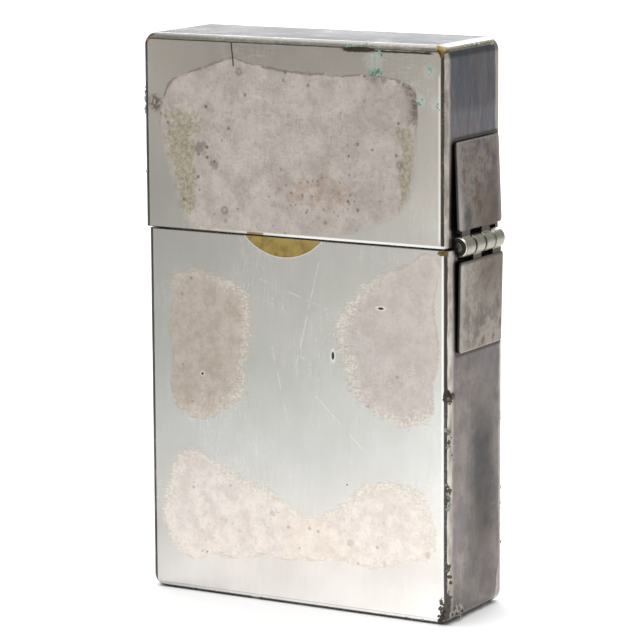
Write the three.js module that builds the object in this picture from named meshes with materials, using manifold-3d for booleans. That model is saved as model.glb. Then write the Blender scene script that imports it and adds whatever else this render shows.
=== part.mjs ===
// A flip-top pocket lighter in worn nickel plate: a drawn case with a hinged lid,
// and the fuel insert that stands inside it. Millimetres, +Z up, hinge on the +X side,
// front towards -Y. The origin is the centre of the base's underside.

import * as THREE from 'three';
import { mergeVertices } from 'three/addons/utils/BufferGeometryUtils.js';
import Module from 'manifold-3d';

const wasm = await Module();
wasm.setup();

// ---------------------------------------------------------------- driving dimensions

const CASE = {
  width: 38.1, depth: 12.8, height: 63.2, wall: 0.6, end: 0.8,
  edge: 0.65,                        // rounding all round the two broad faces
  corner: 1.5,                       // rounding of the four corners of the broad faces
  inner: 0.35,                       // rounding of the upright corners inside
};
const SEAM = { height: 41.35, gap: 0.2 };
const LID_SHIFT = -0.4;              // the worn hinge lets the lid sit a little off the base

const HINGE = { x: 18.95, y: 0.35, z: SEAM.height, radius: 1.15, bore: 0.5, pin: 0.43 };
const KNUCKLES = { count: 4, pitch: 2.3, gap: 0.15, chamfer: 0.16 };
const BARREL_LENGTH = KNUCKLES.count * KNUCKLES.pitch;
const NOTCH_CLEARANCE = 0.25;        // room around the barrel in both side walls
const PIN_END = { stand: 0.03, head: 0.55, headHeight: 0.14 };
// A knuckle's neck: its overlap on the leaf and its set-back from the knuckle's ends in
// millimetres, the rest as shares of the leaf's thickness and the knuckle's radius.
const NECK = { overlap: 0.4, setBack: 0.15, thickness: 0.85, outer: 0.75, root: 0.65 };
const LEAF = { width: 10.0, thickness: 0.35, corner: 0.4, bevel: 0.08, bedInset: 0.8 };
const LOWER_LEAF = { bottom: 29.85, top: 39.85, flare: 0.2 };
const UPPER_LEAF = { bottom: 43.1, top: 52.75, flare: 0.42 };

const INSERT = { width: 35.8, depth: 11.2, x: -0.3, wall: 0.4, corner: 1.8, bottom: 0.8, top: 41.9 };
const DECK = { thickness: 0.4, get top() { return INSERT.top + this.thickness; } };
const CHIMNEY = { left: -15, right: 9.8, depth: 8.4, wall: 0.4, corner: 2.4, top: 58.3 };
const CHIMNEY_STEP = { x: 3.0, z: 52.2 };
const VENTS = { radius: 1.0, columns: [-12, -7.2, -2.4], rows: [46.2, 50.4, 54.6] };
const DECK_HOLES = { aroundWick: 0.4, aroundTube: 0.05 };

const RIVET_FIT = 0.04;              // between a rivet and the holes it is fixed in
const WHEEL = {
  x: 6.5, z: 50.2, radius: 3.8, root: 3.45, teeth: 30, rise: 0.7, width: 6.8, bore: 0.97,
};
const WHEEL_RIVET = { radius: 0.9, head: 1.6, headHeight: 0.5 };
const FLINT_TUBE = { radius: 2.1, bore: 1.3, bottom: 2.8, top: 45.6 };
const FLINT = { radius: 1.15, bottom: 40.3, top: 46.1 };
const PLUNGER = { radius: 1.15, bottom: 38.2, top: 40.2 };
const FLINT_SPRING = { coil: 0.95, wire: 0.17, bottom: 7.4, top: 38.0, turns: 15, steps: 8 };
const FLINT_SCREW = {
  head: 2.2, headBottom: 1.5, headFit: 0.02, chamfer: 0.2, shank: 1.05,
  thread: 1.2, threads: 5, runout: 0.2, top: 7.0, slotWidth: 0.6, slotDepth: 0.6,
};

const CAM = { x: 13.0, z: 44.6, hub: 1.35, bore: 0.66, width: 3.6 };
const CAM_NOSE = { x: 16.15, z: 45.35, radius: 0.6 };
const CAM_TAIL = { x: 11.4, z: 43.6, radius: 0.4 };
const CAM_RIVET = { radius: 0.6, head: 1.0, headHeight: 0.35 };
const CAM_BRACKET = { left: 11.2, right: 14.8, width: 5.0, sheet: 0.4, top: 45.9 };
const CAM_SPRING = {
  left: 9.1, bend: 10.5, step: 0.5, tip: 11.9, thickness: 0.22, width: 3.0, lift: 0.68, fit: 0.02,
};
const STOP_TAB = { width: 5.0, sheet: 0.4, bottom: 44.0, top: 52.0, tongue: 1.25 };

const WICK = { radius: 1.1, x: -7, top: 51, turn: 9, tailX: -15.6, tailZ: 5.7, sides: 8, steps: 24 };
const FELT = { bottom: 1.6, top: 4.2, clearance: 0.15, tubeHole: 2.6 };
const COTTON_SHAPE = { halfDepth: 4.9, rounding: 1.2 };
const COTTON = [
  { name: 'cotton_left_lower', x: [-17.4, -8.5], z: [7.3, 17.9] },
  { name: 'cotton_left_middle', x: [-17.4, -8.5], z: [18.3, 28.9] },
  { name: 'cotton_left_upper', x: [-17.4, -8.5], z: [29.3, 41.4] },
  { name: 'cotton_centre_lower', x: [-5.5, 4.0], z: [4.6, 22.8] },
  { name: 'cotton_centre_upper', x: [-5.5, 4.0], z: [23.2, 41.4] },
  { name: 'cotton_right', x: [9.0, 16.8], z: [4.6, 41.4] },
];

const ROUND = { tiny: 14, small: 16, medium: 24, large: 32 };    // sides of a full circle

// ---------------------------------------------------------------- materials

const material = (color, roughness, metalness) =>
  new THREE.MeshStandardMaterial({ color, roughness, metalness });

const MATERIALS = {
  caseNickel: material(0xb9b5ae, 0.3, 1.0),
  lidNickel: material(0xb0aaa3, 0.33, 1.0),
  leafNickel: material(0x9b9089, 0.42, 1.0),
  steel: material(0xa9a89a, 0.35, 1.0),
  insertNickel: material(0xb8b8b4, 0.3, 1.0),
  springSteel: material(0x8d8f92, 0.35, 1.0),
  brass: material(0xb08d4a, 0.4, 1.0),
  flint: material(0x4b4744, 0.75, 0.6),
  wick: material(0xd8cfb8, 0.95, 0.0),
  cotton: material(0xf0ece2, 1.0, 0.0),
  felt: material(0xc9c2b2, 1.0, 0.0),
};

// ---------------------------------------------------------------- solids and booleans

function toSolid(geometry) {
  const bare = geometry.index ? geometry.toNonIndexed() : geometry.clone();
  bare.deleteAttribute('normal');
  bare.deleteAttribute('uv');
  const merged = mergeVertices(bare, 1e-5);
  const mesh = new wasm.Mesh({
    numProp: 3,
    vertProperties: new Float32Array(merged.attributes.position.array),
    triVerts: new Uint32Array(merged.index.array),
  });
  return new wasm.Manifold(mesh);
}

function toGeometry(solid) {
  const mesh = solid.getMesh();
  const geometry = new THREE.BufferGeometry();
  geometry.setAttribute('position', new THREE.BufferAttribute(mesh.vertProperties, 3));
  geometry.setIndex(new THREE.BufferAttribute(mesh.triVerts, 1));
  return geometry;
}

function box(x, y, z) {
  const geometry = new THREE.BoxGeometry(x[1] - x[0], y[1] - y[0], z[1] - z[0]);
  geometry.translate((x[0] + x[1]) / 2, (y[0] + y[1]) / 2, (z[0] + z[1]) / 2);
  return toSolid(geometry);
}

// A cylinder along Y, centred on y = 0 unless told otherwise.
function crossCylinder(radius, length, x, z, segments, y = 0) {
  const geometry = new THREE.CylinderGeometry(radius, radius, length, segments);
  geometry.translate(x, y, z);
  return toSolid(geometry);
}

function uprightCylinder(radius, x, zRange, segments) {
  const geometry = new THREE.CylinderGeometry(radius, radius, zRange[1] - zRange[0], segments);
  geometry.rotateX(Math.PI / 2);
  geometry.translate(x, 0, (zRange[0] + zRange[1]) / 2);
  return toSolid(geometry);
}

function roundedRectangle(width, height, radius, x = 0, y = 0) {
  const [left, right] = [x - width / 2, x + width / 2];
  const [low, high] = [y - height / 2, y + height / 2];
  const quarter = Math.PI / 2;
  const outline = new THREE.Shape();
  outline.absarc(right - radius, low + radius, radius, -quarter, 0);
  outline.absarc(right - radius, high - radius, radius, 0, quarter);
  outline.absarc(left + radius, high - radius, radius, quarter, 2 * quarter);
  outline.absarc(left + radius, low + radius, radius, 2 * quarter, 3 * quarter);
  outline.closePath();
  return outline;
}

// An upright prism of an XY outline.
function prism(outline, zRange, curveSegments) {
  const depth = zRange[1] - zRange[0];
  const geometry = new THREE.ExtrudeGeometry(outline, { depth, bevelEnabled: false, curveSegments });
  geometry.translate(0, 0, zRange[0]);
  return toSolid(geometry);
}

// A prism across the case, from an outline whose x and y are the case's X and Z.
function crossPrism(outline, width, curveSegments) {
  const options = { depth: width, bevelEnabled: false, curveSegments };
  const geometry = new THREE.ExtrudeGeometry(outline, options);
  geometry.rotateX(Math.PI / 2);
  geometry.translate(0, width / 2, 0);
  return toSolid(geometry);
}

function polygon(points) {
  return new THREE.Shape(points.map(([x, y]) => new THREE.Vector2(x, y)));
}

// A ring turned about an axis along Y: bore, outer wall and chamfered ends.
function turnedRing(bore, radius, length, chamfer, segments) {
  const half = length / 2;
  const profile = [
    new THREE.Vector2(bore, -half),
    new THREE.Vector2(radius - chamfer, -half),
    new THREE.Vector2(radius, -half + chamfer),
    new THREE.Vector2(radius, half - chamfer),
    new THREE.Vector2(radius - chamfer, half),
    new THREE.Vector2(bore, half),
    new THREE.Vector2(bore, -half),
  ];
  return toSolid(new THREE.LatheGeometry(profile, segments));
}

// A rivet along Y with a domed head at each end.
function rivet(radius, grip, head, headHeight, segments) {
  const half = grip / 2;
  const domeSteps = 3;
  const profile = [];
  for (let step = 0; step <= domeSteps; step += 1) {
    const angle = (step / domeSteps) * (Math.PI / 2);
    profile.push(new THREE.Vector2(head * Math.sin(angle), -half - headHeight * Math.cos(angle)));
  }
  profile.push(new THREE.Vector2(radius, -half));
  const mirrored = profile.map((point) => new THREE.Vector2(point.x, -point.y)).reverse();
  return toSolid(new THREE.LatheGeometry([...profile, ...mirrored], segments));
}

// ---------------------------------------------------------------- case and lid

const BARREL_ROOM = HINGE.radius + NOTCH_CLEARANCE;

function caseBlock() {
  const outline = roundedRectangle(
    CASE.width - 2 * CASE.edge, CASE.height - 2 * CASE.edge, CASE.corner - CASE.edge);
  const geometry = new THREE.ExtrudeGeometry(outline, {
    depth: CASE.depth - 2 * CASE.edge,
    bevelSize: CASE.edge,
    bevelThickness: CASE.edge,
    bevelSegments: 6,
    curveSegments: 6,
  });
  geometry.rotateX(Math.PI / 2);
  geometry.translate(0, CASE.depth / 2 - CASE.edge, CASE.height / 2);
  return toSolid(geometry);
}

function caseHollow(zRange) {
  const outline = roundedRectangle(
    CASE.width - 2 * CASE.wall, CASE.depth - 2 * CASE.wall, CASE.inner);
  return prism(outline, zRange, 4);
}

function barrelNotch(zRange) {
  const half = BARREL_LENGTH / 2 + NOTCH_CLEARANCE;
  return box(
    [CASE.width / 2 - 2 * CASE.wall, CASE.width], [HINGE.y - half, HINGE.y + half], zRange);
}

function everything(zRange) {
  return box([-CASE.width, CASE.width], [-CASE.depth, CASE.depth], zRange);
}

function caseBody() {
  const rim = SEAM.height - SEAM.gap / 2;
  return caseBlock()
    .intersect(everything([-1, rim]))
    .subtract(caseHollow([CASE.end, CASE.height]))
    .subtract(barrelNotch([SEAM.height - BARREL_ROOM, CASE.height]));
}

function caseLid() {
  const rim = SEAM.height + SEAM.gap / 2;
  return caseBlock()
    .intersect(everything([rim, CASE.height + 1]))
    .subtract(caseHollow([0, CASE.height - CASE.end]))
    .subtract(barrelNotch([0, SEAM.height + BARREL_ROOM]))
    .translate([LID_SHIFT, 0, 0]);
}

// ---------------------------------------------------------------- outside hinge

// The flat of a leaf: its outline lies on the side wall and leans out towards the barrel.
function leafPlate(leaf, wallX, flareAtTop) {
  const height = leaf.top - leaf.bottom;
  const outline = roundedRectangle(
    LEAF.width - 2 * LEAF.bevel, height - 2 * LEAF.bevel, LEAF.corner);
  const geometry = new THREE.ExtrudeGeometry(outline, {
    depth: LEAF.thickness - 2 * LEAF.bevel,
    bevelSize: LEAF.bevel,
    bevelThickness: LEAF.bevel,
    bevelSegments: 2,
    curveSegments: 4,
  });
  geometry.translate(0, 0, LEAF.bevel);
  geometry.rotateX(Math.PI / 2);
  geometry.rotateZ(Math.PI / 2);
  const lean = Math.atan(leaf.flare / height) * (flareAtTop ? 1 : -1);
  geometry.rotateY(lean);
  geometry.translate(wallX + leaf.flare / 2, HINGE.y, (leaf.top + leaf.bottom) / 2);
  return toSolid(geometry);
}

// The solder that fills the wedge between a leaf and the wall, set in from the leaf's edges.
function solderBed(leaf, wallX, flareAtTop) {
  const wide = flareAtTop ? leaf.top - LEAF.bedInset : leaf.bottom + LEAF.bedInset;
  const narrow = flareAtTop ? leaf.bottom + LEAF.bedInset : leaf.top - LEAF.bedInset;
  const backing = LEAF.thickness / 2;
  const outline = polygon([
    [wallX, narrow],
    [wallX, wide],
    [wallX + leaf.flare + backing / 2, wide],
    [wallX + backing, narrow],
  ]);
  return crossPrism(outline, LEAF.width - 2 * LEAF.bedInset, 1).translate([0, HINGE.y, 0]);
}

function knuckleCentre(index) {
  return HINGE.y + (index + 0.5) * KNUCKLES.pitch - BARREL_LENGTH / 2;
}

// One rolled knuckle with the neck that joins it to its leaf's near edge.
function knuckle(index, leafEdgeZ, leafX) {
  const length = KNUCKLES.pitch - KNUCKLES.gap;
  const ring = turnedRing(
    HINGE.bore, HINGE.radius, length, KNUCKLES.chamfer, ROUND.large
  ).translate([HINGE.x, knuckleCentre(index), HINGE.z]);
  const side = Math.sign(leafEdgeZ - HINGE.z);
  const onLeaf = leafEdgeZ + side * NECK.overlap;
  const neckOuterX = leafX + LEAF.thickness * NECK.thickness;
  const neck = crossPrism(polygon([
    [leafX, onLeaf],
    [neckOuterX, onLeaf],
    [neckOuterX, HINGE.z + side * HINGE.radius * NECK.outer],
    [HINGE.x + HINGE.bore / 2, HINGE.z + side * HINGE.radius * NECK.root],
  ]), length - 2 * NECK.setBack, 1).translate([0, knuckleCentre(index), 0]);
  return ring.add(neck).subtract(
    crossCylinder(HINGE.bore, length, HINGE.x, HINGE.z, ROUND.large, knuckleCentre(index)));
}

function hingeLeafLower() {
  const wallX = CASE.width / 2;
  const leafX = wallX + LOWER_LEAF.flare;
  return leafPlate(LOWER_LEAF, wallX, true)
    .add(solderBed(LOWER_LEAF, wallX, true))
    .add(knuckle(1, LOWER_LEAF.top, leafX))
    .add(knuckle(3, LOWER_LEAF.top, leafX));
}

function hingeLeafUpper() {
  const wallX = CASE.width / 2 + LID_SHIFT;
  const leafX = wallX + UPPER_LEAF.flare;
  return leafPlate(UPPER_LEAF, wallX, false)
    .add(solderBed(UPPER_LEAF, wallX, false))
    .add(knuckle(0, UPPER_LEAF.bottom, leafX))
    .add(knuckle(2, UPPER_LEAF.bottom, leafX));
}

function hingePin() {
  const { stand, head, headHeight } = PIN_END;
  return rivet(HINGE.pin, BARREL_LENGTH + 2 * stand, head, headHeight, ROUND.small)
    .translate([HINGE.x, HINGE.y, HINGE.z]);
}

// ---------------------------------------------------------------- insert

function insertOutline(inset) {
  return roundedRectangle(
    INSERT.width - 2 * inset, INSERT.depth - 2 * inset, INSERT.corner - inset, INSERT.x);
}

function insertShell() {
  const range = [INSERT.bottom, INSERT.top];
  return prism(insertOutline(0), range, 6)
    .subtract(prism(insertOutline(INSERT.wall), [0, CASE.height], 6));
}

function insertDeck() {
  const wickHole = WICK.radius + DECK_HOLES.aroundWick;
  const tubeHole = FLINT_TUBE.radius + DECK_HOLES.aroundTube;
  return prism(insertOutline(0), [INSERT.top, DECK.top], 6)
    .subtract(uprightCylinder(wickHole, WICK.x, [0, CASE.height], ROUND.medium))
    .subtract(uprightCylinder(tubeHole, WHEEL.x, [0, CASE.height], ROUND.large));
}

function chimneyOutline(inset) {
  const width = CHIMNEY.right - CHIMNEY.left + 2 * CHIMNEY.corner - 2 * inset;
  const centre = (CHIMNEY.right + CHIMNEY.left) / 2 + CHIMNEY.corner;
  return roundedRectangle(width, CHIMNEY.depth - 2 * inset, CHIMNEY.corner - inset, centre);
}

// The wind guard: a tall slotted sheet wall, open above and towards the hinge, with its two
// sides carried on at a lower height to hold the wheel's rivet.
function chimney() {
  const { x, z } = CHIMNEY_STEP;
  let guard = prism(chimneyOutline(0), [DECK.top, CHIMNEY.top], 8)
    .subtract(prism(chimneyOutline(CHIMNEY.wall), [0, CASE.height], 8))
    .subtract(box([CHIMNEY.right, CASE.width], [-CASE.depth, CASE.depth], [0, CASE.height]))
    .subtract(box([x, CASE.width], [-CASE.depth, CASE.depth], [z, CASE.height]))
    .subtract(crossCylinder(
      WHEEL_RIVET.radius + RIVET_FIT, CASE.depth, WHEEL.x, WHEEL.z, ROUND.small));
  VENTS.rows.forEach((rowZ, row) => {
    VENTS.columns.forEach((columnX, column) => {
      const middleOfOddRow = row === 1 && column === 1;
      if (!middleOfOddRow) {
        guard = guard.subtract(
          crossCylinder(VENTS.radius, CASE.depth, columnX, rowZ, ROUND.tiny));
      }
    });
  });
  return guard;
}

// ---------------------------------------------------------------- striking gear

function flintWheel() {
  const outline = new THREE.Shape();
  for (let tooth = 0; tooth < WHEEL.teeth; tooth += 1) {
    const start = (tooth / WHEEL.teeth) * 2 * Math.PI;
    const end = start + (WHEEL.rise / WHEEL.teeth) * 2 * Math.PI;
    const move = tooth === 0 ? 'moveTo' : 'lineTo';
    outline[move](WHEEL.root * Math.cos(start), WHEEL.root * Math.sin(start));
    outline.lineTo(WHEEL.radius * Math.cos(end), WHEEL.radius * Math.sin(end));
  }
  outline.closePath();
  const bore = new THREE.Path();
  bore.absarc(0, 0, WHEEL.bore, 0, 2 * Math.PI);
  outline.holes.push(bore);
  return crossPrism(outline, WHEEL.width, 14).translate([WHEEL.x, 0, WHEEL.z]);
}

function wheelRivet() {
  const { radius, head, headHeight } = WHEEL_RIVET;
  return rivet(radius, CHIMNEY.depth, head, headHeight, ROUND.small)
    .translate([WHEEL.x, 0, WHEEL.z]);
}

function flintTube() {
  const range = [FLINT_TUBE.bottom, FLINT_TUBE.top];
  return uprightCylinder(FLINT_TUBE.radius, WHEEL.x, range, ROUND.large)
    .subtract(uprightCylinder(FLINT_TUBE.bore, WHEEL.x, [0, CASE.height], ROUND.large));
}

// A plain round slug that slides in the flint tube.
function slug({ radius, bottom, top }) {
  return uprightCylinder(radius, WHEEL.x, [bottom, top], ROUND.medium);
}

function flintSpring() {
  const { coil, wire, bottom, top, turns, steps } = FLINT_SPRING;
  class Helix extends THREE.Curve {
    getPoint(t, target = new THREE.Vector3()) {
      const angle = t * turns * 2 * Math.PI;
      const z = bottom + wire + t * (top - bottom - 2 * wire);
      return target.set(WHEEL.x + coil * Math.cos(angle), coil * Math.sin(angle), z);
    }
  }
  const section = new THREE.Shape();
  section.absarc(0, 0, wire, 0, 2 * Math.PI);
  return toSolid(new THREE.ExtrudeGeometry(section, {
    steps: turns * steps,
    curveSegments: 2,
    extrudePath: new Helix(),
  }));
}

// Slotted head below, and a thread that screws up into the flint tube.
function flintScrew() {
  const { head, headBottom, chamfer, shank, thread, threads, runout, top } = FLINT_SCREW;
  const headTop = FLINT_TUBE.bottom - FLINT_SCREW.headFit;
  const pitch = (top - headTop - 2 * runout) / threads;
  const profile = [
    new THREE.Vector2(0, headBottom),
    new THREE.Vector2(head - chamfer, headBottom),
    new THREE.Vector2(head, headBottom + chamfer),
    new THREE.Vector2(head, headTop),
    new THREE.Vector2(shank, headTop),
  ];
  for (let turn = 0; turn < threads; turn += 1) {
    const z = headTop + runout + turn * pitch;
    profile.push(new THREE.Vector2(shank, z), new THREE.Vector2(thread, z + pitch / 2));
  }
  profile.push(new THREE.Vector2(shank, top - runout), new THREE.Vector2(0, top));
  const geometry = new THREE.LatheGeometry(profile, ROUND.small);
  geometry.rotateX(Math.PI / 2);
  geometry.translate(WHEEL.x, 0, 0);
  const halfSlot = FLINT_SCREW.slotWidth / 2;
  return toSolid(geometry).subtract(
    box([0, CASE.width], [-halfSlot, halfSlot], [0, headBottom + FLINT_SCREW.slotDepth]));
}

// ---------------------------------------------------------------- cam gear

function hullOutline(a, b) {
  const along = Math.atan2(b.z - a.z, b.x - a.x);
  const spread = Math.acos((a.radius - b.radius) / Math.hypot(b.x - a.x, b.z - a.z));
  const outline = new THREE.Shape();
  outline.absarc(a.x, a.z, a.radius, along + spread, along - spread + 2 * Math.PI);
  outline.absarc(b.x, b.z, b.radius, along - spread, along + spread);
  outline.closePath();
  return outline;
}

function cam() {
  const hub = { x: CAM.x, z: CAM.z, radius: CAM.hub };
  return crossPrism(hullOutline(hub, CAM_NOSE), CAM.width, 8)
    .add(crossPrism(hullOutline(hub, CAM_TAIL), CAM.width, 8))
    .subtract(crossCylinder(CAM.bore, CASE.depth, CAM.x, CAM.z, ROUND.small));
}

// A channel that stands on the deck, its two ears carrying the cam's rivet.
function camBracket() {
  const { left, right, width, sheet, top } = CAM_BRACKET;
  const half = width / 2;
  return box([left, right], [-half, half], [DECK.top, top])
    .subtract(box([0, CASE.width], [-half + sheet, half - sheet], [DECK.top + sheet, CASE.height]))
    .subtract(crossCylinder(CAM_RIVET.radius + RIVET_FIT, CASE.depth, CAM.x, CAM.z, ROUND.small));
}

function camRivet() {
  const { radius, head, headHeight } = CAM_RIVET;
  return rivet(radius, CAM_BRACKET.width, head, headHeight, ROUND.small)
    .translate([CAM.x, 0, CAM.z]);
}

// A bent leaf: flat on the deck, then rising to just under the cam's tail.
function camSpring() {
  const { left, bend, step, tip, thickness, width, lift, fit } = CAM_SPRING;
  const onBracket = DECK.top + CAM_BRACKET.sheet + fit;
  return crossPrism(polygon([
    [left, DECK.top],
    [bend, DECK.top],
    [bend + step, onBracket],
    [tip, DECK.top + lift - thickness],
    [tip, DECK.top + lift],
    [bend + step - thickness / 2, onBracket + thickness],
    [bend - thickness / 2, DECK.top + thickness],
    [left, DECK.top + thickness],
  ]), width, 1);
}

// A sheet angle on the lid's side wall, inside; its tongue lies under the cam's nose.
function lidStopTab() {
  const { width, sheet, bottom, top, tongue } = STOP_TAB;
  const wallX = CASE.width / 2 - CASE.wall + LID_SHIFT;
  return crossPrism(polygon([
    [wallX, bottom],
    [wallX, top],
    [wallX - sheet, top],
    [wallX - sheet, bottom + sheet],
    [wallX - sheet - tongue, bottom + sheet],
    [wallX - sheet - tongue, bottom],
  ]), width, 1);
}

// ---------------------------------------------------------------- wick and packing

function wick() {
  const { radius, x, top, turn, tailX, tailZ, sides, steps } = WICK;
  const path = new THREE.CurvePath();
  const bend = turn - tailZ;
  path.add(new THREE.LineCurve3(new THREE.Vector3(x, 0, top), new THREE.Vector3(x, 0, turn)));
  path.add(new THREE.QuadraticBezierCurve3(
    new THREE.Vector3(x, 0, turn),
    new THREE.Vector3(x, 0, tailZ),
    new THREE.Vector3(x - bend, 0, tailZ)));
  path.add(new THREE.LineCurve3(
    new THREE.Vector3(x - bend, 0, tailZ), new THREE.Vector3(tailX, 0, tailZ)));
  const section = new THREE.Shape();
  section.absarc(0, 0, radius, 0, 2 * Math.PI);
  return toSolid(new THREE.ExtrudeGeometry(section, {
    steps,
    curveSegments: sides / 2,
    extrudePath: path,
  }));
}

function cottonPad({ x, z }) {
  const { halfDepth, rounding } = COTTON_SHAPE;
  const width = x[1] - x[0];
  const outline = roundedRectangle(width - 2 * rounding, 2 * (halfDepth - rounding), rounding);
  const geometry = new THREE.ExtrudeGeometry(outline, {
    depth: z[1] - z[0] - 2 * rounding,
    bevelSize: rounding,
    bevelThickness: rounding,
    bevelSegments: 2,
    curveSegments: 2,
  });
  geometry.translate((x[0] + x[1]) / 2, 0, z[0] + rounding);
  return toSolid(geometry);
}

function feltPad() {
  return prism(insertOutline(INSERT.wall + FELT.clearance), [FELT.bottom, FELT.top], 6)
    .subtract(uprightCylinder(FELT.tubeHole, WHEEL.x, [0, CASE.height], ROUND.medium));
}

// ---------------------------------------------------------------- assembly

const lighter = new THREE.Group();

function place(parent, name, solid, surface) {
  const mesh = new THREE.Mesh(toGeometry(solid), surface);
  mesh.name = name;
  parent.add(mesh);
}

const base = new THREE.Group();
place(base, 'case_body', caseBody(), MATERIALS.caseNickel);
place(base, 'hinge_leaf_lower', hingeLeafLower(), MATERIALS.leafNickel);
place(base, 'hinge_pin', hingePin(), MATERIALS.steel);
lighter.add(base);

const lid = new THREE.Group();
place(lid, 'case_lid', caseLid(), MATERIALS.lidNickel);
place(lid, 'hinge_leaf_upper', hingeLeafUpper(), MATERIALS.leafNickel);
place(lid, 'lid_stop_tab', lidStopTab(), MATERIALS.insertNickel);
lighter.add(lid);

const insert = new THREE.Group();
place(insert, 'insert_shell', insertShell(), MATERIALS.insertNickel);
place(insert, 'insert_deck', insertDeck(), MATERIALS.insertNickel);
place(insert, 'chimney', chimney(), MATERIALS.insertNickel);
place(insert, 'flint_wheel', flintWheel(), MATERIALS.springSteel);
place(insert, 'wheel_rivet', wheelRivet(), MATERIALS.steel);
place(insert, 'flint_tube', flintTube(), MATERIALS.brass);
place(insert, 'flint', slug(FLINT), MATERIALS.flint);
place(insert, 'flint_plunger', slug(PLUNGER), MATERIALS.brass);
place(insert, 'flint_spring', flintSpring(), MATERIALS.springSteel);
place(insert, 'flint_screw', flintScrew(), MATERIALS.brass);
place(insert, 'cam_bracket', camBracket(), MATERIALS.insertNickel);
place(insert, 'cam_rivet', camRivet(), MATERIALS.steel);
place(insert, 'cam', cam(), MATERIALS.springSteel);
place(insert, 'cam_spring', camSpring(), MATERIALS.springSteel);
place(insert, 'wick', wick(), MATERIALS.wick);
COTTON.forEach((pad) => place(insert, pad.name, cottonPad(pad), MATERIALS.cotton));
place(insert, 'felt_pad', feltPad(), MATERIALS.felt);
lighter.add(insert);

export default lighter;
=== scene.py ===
"""A flip-top pocket lighter in worn nickel plate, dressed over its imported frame.

Materials and made pieces are worked out in millimetres, the camera and lights in metres.
The hinge is on the +X side and the front faces -Y.
"""

import math
import random

import bmesh
import bpy
from mathutils import Matrix, Vector, noise


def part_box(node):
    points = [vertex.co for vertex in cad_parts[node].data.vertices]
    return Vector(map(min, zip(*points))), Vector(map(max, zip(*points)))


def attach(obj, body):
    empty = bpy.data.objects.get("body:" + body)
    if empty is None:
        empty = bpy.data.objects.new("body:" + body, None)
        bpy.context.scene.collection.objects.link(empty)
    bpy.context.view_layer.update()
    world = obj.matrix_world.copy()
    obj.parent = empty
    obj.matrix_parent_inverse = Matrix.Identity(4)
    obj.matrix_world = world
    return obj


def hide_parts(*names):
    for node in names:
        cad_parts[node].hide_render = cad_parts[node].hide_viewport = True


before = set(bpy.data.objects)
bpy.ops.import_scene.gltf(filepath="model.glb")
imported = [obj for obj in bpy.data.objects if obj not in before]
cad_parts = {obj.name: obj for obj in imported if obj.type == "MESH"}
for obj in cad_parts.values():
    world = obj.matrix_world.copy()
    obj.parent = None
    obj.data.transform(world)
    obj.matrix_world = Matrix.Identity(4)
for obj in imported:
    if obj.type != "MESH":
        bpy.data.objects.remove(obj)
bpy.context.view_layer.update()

MM = 0.001

# ---- places, from the frame


def node_box_mm(node):
    """The lowest and highest corners of a CAD node, in millimetres."""
    low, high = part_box(node)
    return Vector(low) / MM, Vector(high) / MM


body_low, body_high = node_box_mm("case_body")
lid_low, lid_high = node_box_mm("case_lid")
HALF_WIDTH = (body_high.x - body_low.x) / 2
HALF_DEPTH = (body_high.y - body_low.y) / 2
LID_SHIFT = (lid_low.x + lid_high.x) / 2
SEAM = (body_high.z + lid_low.z) / 2
TOP = lid_high.z
EDGE = 0.65  # radius of the case's rounded edges
pin_low, pin_high = node_box_mm("hinge_pin")
PIN_END = 0.17  # each of the pin's heads, beyond the barrel
KNUCKLE_COUNT = 4
BARREL_START = pin_low.y + PIN_END
KNUCKLE_PITCH = (pin_high.y - pin_low.y - 2 * PIN_END) / KNUCKLE_COUNT
AXIS_X = (pin_low.x + pin_high.x) / 2
BARREL_RADIUS = 1.15
GLINT_X = HALF_WIDTH - EDGE - 0.16  # the painted highlight line beside the front's right edge
FRONT_SKIN = (-HALF_DEPTH + 0.9, -HALF_DEPTH + 1.6)  # depths where marks on the front fade out
SHEET_MIDDLE = (0.32, 0.38)  # depths in the sheet where the outside's look becomes the inside's

# ---- node graphs


def operator(operation, swapped=False):
    """A method of Signal that adds one Math node."""
    def method(self, *others):
        values = (*others, self) if swapped else (self, *others)
        return self.graph.math(operation, *values)

    return method


class Signal:
    """A number that varies over a surface; its arithmetic adds Math nodes."""

    def __init__(self, graph, socket):
        self.graph = graph
        self.socket = socket

    __add__ = operator("ADD")
    __radd__ = operator("ADD", swapped=True)
    __sub__ = operator("SUBTRACT")
    __rsub__ = operator("SUBTRACT", swapped=True)
    __mul__ = operator("MULTIPLY")
    __rmul__ = operator("MULTIPLY", swapped=True)
    __truediv__ = operator("DIVIDE")
    __abs__ = operator("ABSOLUTE")
    sqrt = operator("SQRT")
    min = operator("MINIMUM")
    max = operator("MAXIMUM")
    smooth_min = operator("SMOOTH_MIN")

    def rising(self, low, high):
        """0 below low, 1 above high, smooth between."""
        return self.graph.map_range(self, low, high)

    def falling(self, low, high):
        return 1 - self.rising(low, high)

    def band(self, centre, half_width, soft):
        """1 near centre, 0 beyond half_width + soft."""
        return abs(self - centre).falling(half_width, half_width + soft)


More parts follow.
